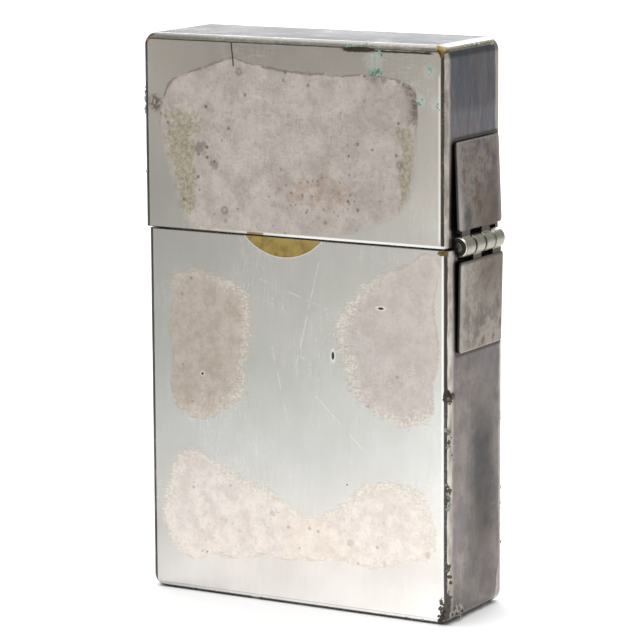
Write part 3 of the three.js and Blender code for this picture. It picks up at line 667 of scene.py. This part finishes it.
    # Pale rims, scratches, a paler lower edge of the lid and a painted highlight line beside the
    # front's right edge.
    colour = g.mix(bright * 0.85, colour, (0.93, 0.92, 0.88))
    brass = g.shade(g.mix(bruise, BRASS, g.shade(BRASS, 0.66)), 1 - g.x.rising(9, 14) * 0.5)
    colour = g.mix(bare, colour, brass)
    colour = g.mix(black, colour, g.mix(bruise * 0.2, GRIME_AND_SHADE, DARK_BRASS))

    past_skin = (HALF_WIDTH - abs(g.x - shift)).min(HALF_DEPTH - abs(g.y))
    inner = past_skin.min(TOP - g.z if is_lid else g.z).rising(*SHEET_MIDDLE)
    smoke = g.noise(0.22, 48, detail=5, roughness=0.65).rising(0.35, 0.7)
    lining = g.mix(smoke, (0.36, 0.30, 0.185), (0.20, 0.165, 0.115))
    lining = g.mix(pits * 0.5, lining, DARK_BRASS)
    colour = g.mix(inner, colour, lining)

    fine = g.noise(3.0, 29)
    roughness = 0.17 + cloud * 0.05 + all_stain * 0.28 + side * 0.1 + fine * 0.04 + black * 0.3
    roughness = roughness + bare * 0.14 + edge_dark_reflection * 0.25 + inner * 0.16
    metallic = 1 - all_stain * (1 - inner) * 0.3 - edge_dark_reflection * 0.5 - black * 0.5
    height = 0.5 + g.ripple(1.1, 0.09, 30, detail=1) + (fine - 0.5) * 0.02
    height = height + all_stain * 0.05 - bare * 0.25 - black * 0.35 - pits * 0.3 - lines * 0.03
    return g.finish(colour, metallic, roughness, height, 0.06)


# ---- other materials


def leaf_material(name, is_upper):
    """Tarnished nickel on a hinge leaf, blotched with rust-brown, with lighter knuckles, painted
    shade and painted highlights.
    """
    g = Graph(name)
    blotch = g.noise(0.33, 5 if is_upper else 8, detail=6, roughness=0.7)
    fine = g.noise((2.0, 1.6, 0.9), 6, detail=5, roughness=0.7)
    stops = UPPER_LEAF_TONES if is_upper else LOWER_LEAF_TONES
    colour = g.ramp(blotch + (fine - 0.5) * 0.25, stops)
    teal = g.noise(0.4, 9).rising(0.58, 0.7) * 0.4
    colour = g.mix(teal, colour, (0.185, 0.21, 0.20))
    spots = specks(g, 0.9, 7, 0.14, 0.25)
    colour = g.mix(spots * 0.7, colour, (0.10, 0.06, 0.045))
    low, high = node_box_mm(LEAF_NODES[is_upper])
    far = g.y.rising(low.y + 2.0, low.y + 6.0)
    if is_upper:
        shaded = g.z.falling(SEAM + 4.0, SEAM + 8.0)
        far_rim_highlight = g.y.rising(high.y - 1.1, high.y - 0.2)
        outer_rim_highlight = g.z.rising(high.z - 0.25, high.z - 0.1)
    else:
        shaded = g.z.rising(SEAM - 9.0, SEAM - 3.0)
        far_rim_highlight = g.y.rising(high.y - 0.3, high.y - 0.15)
        outer_rim_highlight = g.z.falling(low.z + 0.1, low.z + 0.25)
    # Painted shade: darker and browner towards the far end by the barrel. Painted reflection:
    # lighter near the front end. Painted highlights along the far and outer rims.
    colour = g.shade(colour, 1 - far * shaded * 0.36)
    colour = g.mix(far * shaded * 0.4, colour, (0.15, 0.10, 0.065))
    near_front = g.y.falling(low.y + 0.2, low.y + 1.6) * (shaded * 0.6 + 0.4)
    colour = g.mix(near_front * 0.75, colour, (0.42, 0.39, 0.36))
    colour = g.mix(far_rim_highlight.max(outer_rim_highlight) * 0.6, colour, (0.34, 0.30, 0.265))

    reach = length(g.x - AXIS_X, g.z - SEAM)
    knuckle = reach.falling(BARREL_RADIUS + 0.02, BARREL_RADIUS + 0.08)
    bright = g.mix(fine.rising(0.3, 0.7), (0.29, 0.28, 0.22), (0.40, 0.385, 0.315))
    colour = g.mix(knuckle, colour, bright)
    along = (g.y - BARREL_START) / KNUCKLE_PITCH
    joint = abs(g.math("FRACT", along + 0.5) - 0.5) * KNUCKLE_PITCH
    rings = joint.falling(0.16, 0.27) * (0.55 + along.falling(1.6, 3.0) * 0.4) * knuckle
    end_face = (g.ny * -1).rising(0.75, 0.9) * knuckle
    # Painted shade on the necks between leaf and knuckles and under the knuckles where they face
    # the other leaf; the joints between knuckles and the barrel's front end are darkened too.
    neck_shade = knuckle.falling(0.3, 0.7) * abs(g.z - SEAM).falling(1.65, 2.0)
    under = reach.rising(BARREL_RADIUS - 0.35, BARREL_RADIUS + 0.1)
    under = under * (g.nz * (-1 if is_upper else 1)).rising(0.8, 0.95) * 0.3
    colour = g.mix(neck_shade * 0.92, colour, (0.055, 0.038, 0.03))
    colour = g.mix((rings.max(end_face * 0.95) + under).min(1), colour, GRIME_AND_SHADE)
    # Painted highlight round the rim of the barrel's front end.
    lip_highlight = reach.rising(BARREL_RADIUS - 0.2, BARREL_RADIUS - 0.12) * along.falling(0.04, 0.1)
    colour = g.mix(lip_highlight * knuckle * 0.9, colour, (0.90, 0.90, 0.85))

    # Darker on the leaf's faces that don't face outward, apart from the knuckles.
    leaf_edge_dark = g.nx.falling(0.25, 0.6) * (1 - knuckle)
    colour = g.mix(leaf_edge_dark * 0.75, colour, (0.06, 0.045, 0.035))
    roughness = 0.32 + spots * 0.2 + fine * 0.1 - knuckle * 0.06 + end_face * 0.3
    height = 0.5 + (blotch - 0.5) * 0.5 + (fine - 0.5) * 0.2 - spots * 0.2
    return g.finish(colour, 0.92 - end_face * 0.5, roughness, height, 0.03)


def metal_material(name, colour, roughness, wear=0.2):
    """A bright metal with a fine grain, faint stains and small pits."""
    g = Graph(name)
    cloud = g.noise(0.5, 3, detail=4)
    fine = g.noise(1.5, 4, detail=4)
    pits = specks(g, 1.1, 5, 0.12, 0.12)
    darker = tuple(channel * 0.55 for channel in colour)
    stained = g.mix(cloud.rising(0.45, 0.75) * wear * 2, colour, darker)
    stained = g.mix(pits * 0.6, stained, tuple(channel * 0.3 for channel in colour))
    height = 0.5 + (fine - 0.5) * 0.4 - pits * 0.3
    return g.finish(stained, 1.0, roughness + (fine - 0.5) * 0.15 + pits * 0.2, height, 0.02)


def guard_material():
    """The wind guard's nickel, blued and sooted by the flame around its upper part."""
    g = Graph("guard_plate")
    low, high = node_box_mm("chimney")
    cloud = g.noise(0.45, 3, detail=4)
    fine = g.noise((2.0, 2.0, 0.8), 4, detail=4)
    heat = (g.z + (cloud - 0.5) * 5).rising(high.z - 8.0, high.z - 1.0)
    heat = heat * g.x.falling(low.x + 9.0, low.x + 16.0)
    tint = g.ramp(heat, [
        (0.0, INSERT_NICKEL),
        (0.35, (0.42, 0.35, 0.235)),
        (0.6, (0.29, 0.21, 0.26)),
        (1.0, (0.13, 0.14, 0.19)),
    ])
    soot = heat.rising(0.6, 1.0) * g.noise(0.8, 6).rising(0.45, 0.6)
    tint = g.mix(soot * 0.8, tint, (0.02, 0.018, 0.016))
    height = 0.5 + (fine - 0.5) * 0.3
    return g.finish(tint, 1 - soot * 0.6, 0.26 + soot * 0.4 + fine * 0.08, height, 0.02)


def fibre_material(name, colour, shadow, scale, depth_mm):
    """Cotton or felt: matted fibres with painted shade in the soft dark hollows between them."""
    g = Graph(name)
    mat = g.noise(scale, 3, detail=6, roughness=0.75, distortion=1.2)
    clump = g.noise(scale * 0.2, 4)
    tone = g.mix(mat.rising(0.35, 0.65), shadow, colour)
    tone = g.mix(clump.rising(0.55, 0.8) * 0.3, tone, shadow)
    return g.finish(tone, 0.0, 0.95, mat * 0.7 + clump * 0.3, depth_mm)


def flint_material():
    """The flint's dark, gritty alloy."""
    g = Graph("flint_grit")
    grit = g.noise(4.0, 3, detail=5, roughness=0.7)
    colour = g.mix(grit.rising(0.4, 0.65), (0.045, 0.042, 0.04), (0.12, 0.11, 0.10))
    return g.finish(colour, 0.5, 0.7, grit, 0.05)


def crust_material(name, dark, pale, dirt, share):
    """Copper corrosion: a share of dirty crumbs among pale ones."""
    g = Graph(name)
    grain = g.noise(2.6, 3, detail=5, roughness=0.7)
    patch = g.noise(0.8, 4)
    salt = g.mix(grain.rising(0.35, 0.65), dark, pale)
    colour = g.mix(patch.falling(share, share + 0.08), salt, g.mix(grain, GRIME_AND_SHADE, dirt))
    return g.finish(colour, 0.0, 0.85, grain, 0.12)


# ---- assigning to CAD nodes


def dress(material, *nodes):
    """Gives CAD nodes a material without touching their meshes."""
    for node in nodes:
        for material_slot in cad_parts[node].material_slots:
            material_slot.link = "OBJECT"
            material_slot.material = material


dress(metal_material("insert_nickel", INSERT_NICKEL, 0.27),
      "lid_stop_tab", "insert_shell", "insert_deck", "cam_bracket")
dress(metal_material("pin_steel", (0.13, 0.12, 0.10), 0.5, wear=0.4), "hinge_pin")
dress(metal_material("rivet_steel", (0.46, 0.45, 0.41), 0.3), "wheel_rivet", "cam_rivet")
dress(metal_material("spring_steel", (0.34, 0.345, 0.355), 0.33, wear=0.3),
      "cam", "cam_spring", "flint_spring")
dress(metal_material("wheel_steel", (0.24, 0.235, 0.23), 0.4, wear=0.45), "flint_wheel")
dress(metal_material("tube_brass", (0.52, 0.37, 0.14), 0.33, wear=0.3),
      "flint_tube", "flint_plunger", "flint_screw")
dress(plate_material("case_plate", False), "case_body")
dress(plate_material("lid_plate", True), "case_lid")
dress(leaf_material("lower_leaf_plate", False), "hinge_leaf_lower")
dress(leaf_material("upper_leaf_plate", True), "hinge_leaf_upper")
dress(guard_material(), "chimney")
dress(flint_material(), "flint")

# ---- made pieces


def new_piece(name, mesh_builder, material):
    """A mesh object from a bmesh that the builder fills, in metres."""
    mesh = bpy.data.meshes.new(name)
    shape = bmesh.new()
    mesh_builder(shape)
    shape.normal_update()
    shape.to_mesh(mesh)
    shape.free()
    for polygon in mesh.polygons:
        polygon.use_smooth = True
    piece = bpy.data.objects.new(name, mesh)
    piece.data.materials.append(material)
    bpy.context.scene.collection.objects.link(piece)
    return piece


CRUMB_STRETCH = (0.7, 1.35)
CRUMB_LUMPINESS = 0.55
CRUMB_FLATTENING = 0.5


def add_crumb(shape, centre, radius, out, seed):
    """One lump of crust: a low, torn dome of the given radius (mm) pushed along out."""
    made = bmesh.ops.create_icosphere(shape, subdivisions=2, radius=1.0)
    chooser = random.Random(seed)
    stretch = Vector([chooser.uniform(*CRUMB_STRETCH) for _ in range(3)])
    for vertex in made["verts"]:
        direction = vertex.co.normalized()
        lumps = noise.noise(direction * 1.7 + Vector((seed, seed * 0.37, 0)))
        reach = radius * (1 + CRUMB_LUMPINESS * lumps)
        local = Vector([direction[i] * reach * stretch[i] for i in range(3)])
        local -= out * (local.dot(out) * CRUMB_FLATTENING)
        vertex.co = (Vector(centre) + local) * MM


def crumbs_along(shape, start, end, out, count, radius, spread, seed):
    """A ragged run of crumbs between two points (mm)."""
    chooser = random.Random(seed)
    out = Vector(out).normalized()
    start, end = Vector(start), Vector(end)
    for index in range(count):
        share = chooser.random()
        centre = start.lerp(end, share)
        wander = Vector([chooser.uniform(-spread, spread) for _ in range(3)])
        wander -= out * wander.dot(out)
        size = radius * chooser.uniform(0.4, 1.0)
        add_crumb(shape, centre + wander, size, out, seed * 50 + index)


# The way out of the object at each place that crumbs stand on.
FRONT = (0, -1, 0)
TOP_OUT = (0, 0, 1)
SIDE_OUT = (1, 0, 0)
LEFT_CORNER = (-0.7, -0.7, 0)
RIGHT_CORNER = (0.7, -0.7, 0)
BACK_CORNER = (0.7, 0.7, 0)
TOP_CORNER = (0.7, 0, 0.7)
FOOT_CORNER = (0, -0.7, -0.7)

rounding = EDGE * (1 - math.sqrt(0.5))  # from a sharp corner in to the middle of its rounded edge
front_y = -HALF_DEPTH + 0.02
side_x = HALF_WIDTH - 0.02
edge_x = HALF_WIDTH - rounding
edge_y = -HALF_DEPTH + rounding
back_y = HALF_DEPTH - rounding
foot_z = rounding
left_x = lid_low.x + rounding
right_x = lid_high.x - rounding

# Runs of crumbs: start, end, way out, count, radius, spread, seed.
LID_CRUMBS = [
    ((9.4, front_y, 59.9), (10.5, front_y, 60.2), FRONT, 12, 0.34, 0.28, 1),
    ((9.6, front_y, 61.0), (10.6, front_y, 62.2), FRONT, 12, 0.15, 0.35, 2),
    ((6.5, front_y, 62.7), (9.8, front_y + 0.2, 63.0), FRONT, 12, 0.16, 0.15, 3),
    ((16.4, front_y, 61.2), (17.1, front_y, 59.6), FRONT, 14, 0.14, 0.35, 4),
    ((15.3, front_y, 57.5), (15.8, front_y, 56.9), FRONT, 8, 0.16, 0.3, 5),
    ((17.4, front_y, 57.3), (17.8, front_y, 56.3), FRONT, 10, 0.15, 0.25, 6),
    ((left_x, edge_y, 57.0), (left_x, edge_y, 54.2), LEFT_CORNER, 13, 0.3, 0.3, 7),
    ((left_x, edge_y, 48.0), (left_x, edge_y, 46.5), LEFT_CORNER, 5, 0.13, 0.2, 8),
    ((-15, front_y + 0.3, 63.1), (-4, 5.5, 63.17), TOP_OUT, 8, 0.1, 0.6, 9),
    ((right_x, back_y, 62.6), (right_x, -2.0, 62.9), TOP_CORNER, 9, 0.13, 0.15, 10),
]


def upright(y, out, high, low, *rest):
    """A run down the base's front right (edge_y) or back right (back_y) corner."""
    return ((edge_x, y, high), (edge_x, y, low), out, *rest)


BASE_CRUMBS = [
    upright(edge_y, RIGHT_CORNER, 25.9, 24.2, 3, 0.28, 0.28, 20),
    upright(edge_y, RIGHT_CORNER, 22.0, 19.6, 12, 0.26, 0.28, 21),
    upright(edge_y, RIGHT_CORNER, 15.6, 12.6, 12, 0.28, 0.28, 22),
    upright(edge_y, RIGHT_CORNER, 7.5, 4.8, 10, 0.28, 0.28, 23),
    upright(edge_y, RIGHT_CORNER, 3.6, 0.8, 16, 0.36, 0.28, 24),
    ((18.35, front_y, 3.1), (18.1, front_y, 0.9), FRONT, 24, 0.2, 0.3, 44),
    upright(back_y, BACK_CORNER, 21.6, 21.0, 3, 0.2, 0.12, 30),
    upright(back_y, BACK_CORNER, 13.5, 10.5, 9, 0.2, 0.12, 31),
    upright(back_y, BACK_CORNER, 9.0, 6.8, 7, 0.2, 0.12, 32),
    ((13.5, edge_y, foot_z), (18.2, edge_y, foot_z), FOOT_CORNER, 9, 0.17, 0.1, 40),
    ((-15, edge_y, foot_z), (12, edge_y, foot_z), FOOT_CORNER, 9, 0.11, 0.1, 41),
    ((side_x, -5.6, 1.6), (side_x, -3.0, 0.7), SIDE_OUT, 13, 0.22, 0.5, 42),
    ((side_x, -5.5, 21.0), (side_x, -5.2, 18.0), SIDE_OUT, 7, 0.14, 0.4, 43),
]


def crust(runs):
    """A builder for new_piece that lays down runs of crumbs."""
    return lambda shape: [crumbs_along(shape, *run) for run in runs]


LID_SALT = crust_material(
    "verdigris", (0.12, 0.25, 0.19), (0.40, 0.60, 0.50), (0.30, 0.33, 0.28), 0.36)
BASE_SALT = crust_material(
    "edge_crust", (0.13, 0.14, 0.115), (0.42, 0.47, 0.40), (0.17, 0.145, 0.115), 0.5)
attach(new_piece("verdigris_lid", crust(LID_CRUMBS), LID_SALT), "lid")
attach(new_piece("crust_base", crust(BASE_CRUMBS), BASE_SALT), "case")

# ---- packing and wick


def soften(node, material, voxel_mm, rounding_steps, lump_mm):
    """A woolly body that stands for a plain CAD pad and stays inside its outline."""
    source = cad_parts[node]
    draft = bpy.data.objects.new(node + "_draft", source.data.copy())
    draft.matrix_world = source.matrix_world
    bpy.context.scene.collection.objects.link(draft)
    remesh = draft.modifiers.new("voxels", "REMESH")
    remesh.mode = "VOXEL"
    remesh.voxel_size = voxel_mm * MM
    bpy.context.view_layer.update()
    evaluated = draft.evaluated_get(bpy.context.evaluated_depsgraph_get())
    mesh = bpy.data.meshes.new_from_object(evaluated)
    mesh.transform(source.matrix_world)
    bpy.data.objects.remove(draft)

    def wool(shape):
        shape.from_mesh(mesh)
        for _ in range(rounding_steps):
            bmesh.ops.smooth_vert(
                shape, verts=shape.verts, factor=0.5,
                use_axis_x=True, use_axis_y=True, use_axis_z=True)
        shape.normal_update()
        for vertex in shape.verts:
            place = vertex.co / MM
            wad = noise.noise(place * 0.35) * 0.5 + 0.5
            tuft = noise.noise(place * 1.3 + Vector((3.0, 9.0, 1.0))) * 0.5 + 0.5
            depth = lump_mm * (0.7 * wad + 0.3 * tuft)
            vertex.co = vertex.co - vertex.normal * depth * MM

    piece = new_piece(node + "_wool", wool, material)
    bpy.data.meshes.remove(mesh)
    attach(piece, "case")
    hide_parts(node)


WICK_X = -7.0
WICK_TOP = 51.0
WICK_TURN = 9.0
WICK_TAIL = Vector((-15.6, 0, 5.7))
WICK_RADIUS = 1.06
STRANDS = 5
LAY = 4.2  # length in which a strand goes once round
SIDES_PER_STRAND = 6
WICK_STEP = 0.25
BEND_STEPS = 24
TEASED = 0.8  # length at each end that narrows and loosens


def wick_line():
    """Points about WICK_STEP apart, from the wick's top to the end of its tail."""
    bend = WICK_TURN - WICK_TAIL.z
    start, corner = Vector((WICK_X, 0, WICK_TURN)), Vector((WICK_X, 0, WICK_TAIL.z))
    finish = Vector((WICK_X - bend, 0, WICK_TAIL.z))
    straight = int((WICK_TOP - WICK_TURN) / WICK_STEP)
    line = [Vector((WICK_X, 0, WICK_TOP - WICK_STEP * step)) for step in range(straight)]
    for step in range(BEND_STEPS + 1):
        t = step / BEND_STEPS
        line.append(start * (1 - t) ** 2 + corner * (2 * t * (1 - t)) + finish * t ** 2)
    tail = int((finish.x - WICK_TAIL.x) / WICK_STEP)
    line += [finish.lerp(WICK_TAIL, step / tail) for step in range(1, tail + 1)]
    return line


def wick_mesh(shape):
    """A rope of twisted strands, narrower and looser at its ends."""
    sides = STRANDS * SIDES_PER_STRAND
    line = wick_line()
    total = sum((after - before).length for before, after in zip(line, line[1:]))
    travelled = 0.0
    rings = []
    for index, centre in enumerate(line):
        before, after = line[max(index - 1, 0)], line[min(index + 1, len(line) - 1)]
        along = (after - before).normalized()
        across = Vector((0, 1, 0))
        third = along.cross(across)
        if index:
            travelled += (centre - line[index - 1]).length
        ring = []
        for side in range(sides):
            angle = 2 * math.pi * side / sides
            lobe = abs(math.cos(STRANDS / 2 * (angle - 2 * math.pi * travelled / LAY)))
            radius = WICK_RADIUS * (0.74 + 0.26 * lobe ** 0.6)
            radius *= 1 - 0.05 * noise.noise(Vector((angle * 3, travelled * 2.5, 0)))
            end = min(travelled, total - travelled)
            if end < TEASED:
                loose = 0.1 * noise.noise(Vector((angle * 4, 7, 0)))
                radius *= 0.72 + 0.28 * end / TEASED + loose
            offset = across * math.cos(angle) + third * math.sin(angle)
            ring.append(shape.verts.new((centre + offset * radius) * MM))
        rings.append(ring)
    for upper, lower in zip(rings, rings[1:]):
        for side in range(sides):
            following = (side + 1) % sides
            shape.faces.new([upper[side], upper[following], lower[following], lower[side]])
    shape.faces.new(rings[0][::-1])
    shape.faces.new(rings[-1])
    bmesh.ops.recalc_face_normals(shape, faces=shape.faces)


def wick_material():
    """Cream cotton, scorched brown and then black towards its lit end."""
    g = Graph("wick_cotton")
    fibre = g.noise(5.0, 3, detail=5, roughness=0.7, distortion=0.8)
    burnt = (g.z + g.ripple(1.6, 1.2, 4)).rising(WICK_TOP - 3.2, WICK_TOP - 0.8)
    tone = g.ramp(burnt, [
        (0.0, (0.60, 0.54, 0.42)), (0.4, (0.33, 0.23, 0.13)),
        (0.75, (0.05, 0.037, 0.03)), (1.0, (0.015, 0.013, 0.012))])
    tone = g.shade(tone, fibre * 0.7 + 0.62)
    return g.finish(tone, 0.0, 0.95, fibre, 0.12)


COTTON = fibre_material(
    "packing_cotton", (0.74, 0.70, 0.62), (0.42, 0.38, 0.31), scale=1.6, depth_mm=0.4)
FELT = fibre_material(
    "felt", (0.36, 0.32, 0.27), (0.20, 0.17, 0.14), scale=2.4, depth_mm=0.25)
wick_piece = new_piece("wick_rope", wick_mesh, wick_material())
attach(wick_piece, "case")
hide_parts("wick")
for pad in (
    "cotton_left_lower", "cotton_left_middle", "cotton_left_upper",
    "cotton_centre_lower", "cotton_centre_upper", "cotton_right",
):
    soften(pad, COTTON, voxel_mm=0.5, rounding_steps=8, lump_mm=0.7)
soften("felt_pad", FELT, voxel_mm=0.3, rounding_steps=3, lump_mm=0.12)

# ---- stage, camera, lights

AIM = Vector((3.1, -6.4, 32.53)) * MM
CAMERA_AZIMUTH = math.radians(29.82)
CAMERA_ELEVATION = math.radians(9.87)
CAMERA_ROLL = math.radians(-0.31)
CAMERA_DISTANCE = 0.3737
LENS = 192.05
FLOOR_REACH = 3.0
FLOOR_DROP = 0.00002  # below the object, so that the two surfaces don't flicker


def place_camera():
    """A camera turned about AIM by the angles above."""
    outward = Vector((
        math.sin(CAMERA_AZIMUTH) * math.cos(CAMERA_ELEVATION),
        -math.cos(CAMERA_AZIMUTH) * math.cos(CAMERA_ELEVATION),
        math.sin(CAMERA_ELEVATION)))
    level_right = (-outward).cross(Vector((0, 0, 1))).normalized()
    level_up = level_right.cross(-outward)
    right = level_right * math.cos(CAMERA_ROLL) + level_up * math.sin(CAMERA_ROLL)
    up = level_up * math.cos(CAMERA_ROLL) - level_right * math.sin(CAMERA_ROLL)
    data = bpy.data.cameras.new("camera")
    data.lens = LENS
    data.sensor_width = 36
    data.clip_start = 0.01
    camera = bpy.data.objects.new("camera", data)
    camera.matrix_world = Matrix.Translation(AIM + outward * CAMERA_DISTANCE) @ Matrix(
        (right, up, outward)).transposed().to_4x4()
    bpy.context.scene.collection.objects.link(camera)
    bpy.context.scene.camera = camera


def place_floor():
    """A pale square just under the object."""
    g = Graph("pale_floor")
    grain = g.noise(0.05, 1)
    colour = g.mix(grain, (0.86, 0.86, 0.86), (0.90, 0.90, 0.90))
    material = g.finish(colour, 0.0, 0.85, grain, 0.02)

    def square(shape):
        corners = [(-1, -1), (1, -1), (1, 1), (-1, 1)]
        shape.faces.new([
            shape.verts.new((x * FLOOR_REACH, y * FLOOR_REACH, -FLOOR_DROP)) for x, y in corners])

    new_piece("floor", square, material)


def place_softbox(name, position, target, size, radiance):
    """A square light of the given side (m) and brightness, aimed at target."""
    data = bpy.data.lights.new(name, "AREA")
    data.shape = "SQUARE"
    data.size = size
    data.energy = radiance * math.pi * size * size
    light = bpy.data.objects.new(name, data)
    light.location = position
    facing = (Vector(target) - Vector(position)).normalized()
    light.rotation_euler = facing.to_track_quat("-Z", "Y").to_euler()
    light.visible_camera = False
    bpy.context.scene.collection.objects.link(light)


def place_world():
    """Soft, even light from all round."""
    world = bpy.data.worlds.new("studio")
    world.use_nodes = True
    backdrop = world.node_tree.nodes["Background"]
    backdrop.inputs["Color"].default_value = (0.98, 0.99, 1.0, 1)
    backdrop.inputs["Strength"].default_value = 0.5
    bpy.context.scene.world = world
    bpy.context.scene.view_settings.view_transform = "Standard"


place_camera()
place_floor()
place_world()
place_softbox("overhead", (0.0, -0.05, 0.5), (0.0, -0.02, 0.0), size=0.6, radiance=3.0)
place_softbox("backdrop", (-0.35, 0.75, 0.5), (-0.3, 0.55, 0.0), size=0.7, radiance=3.4)
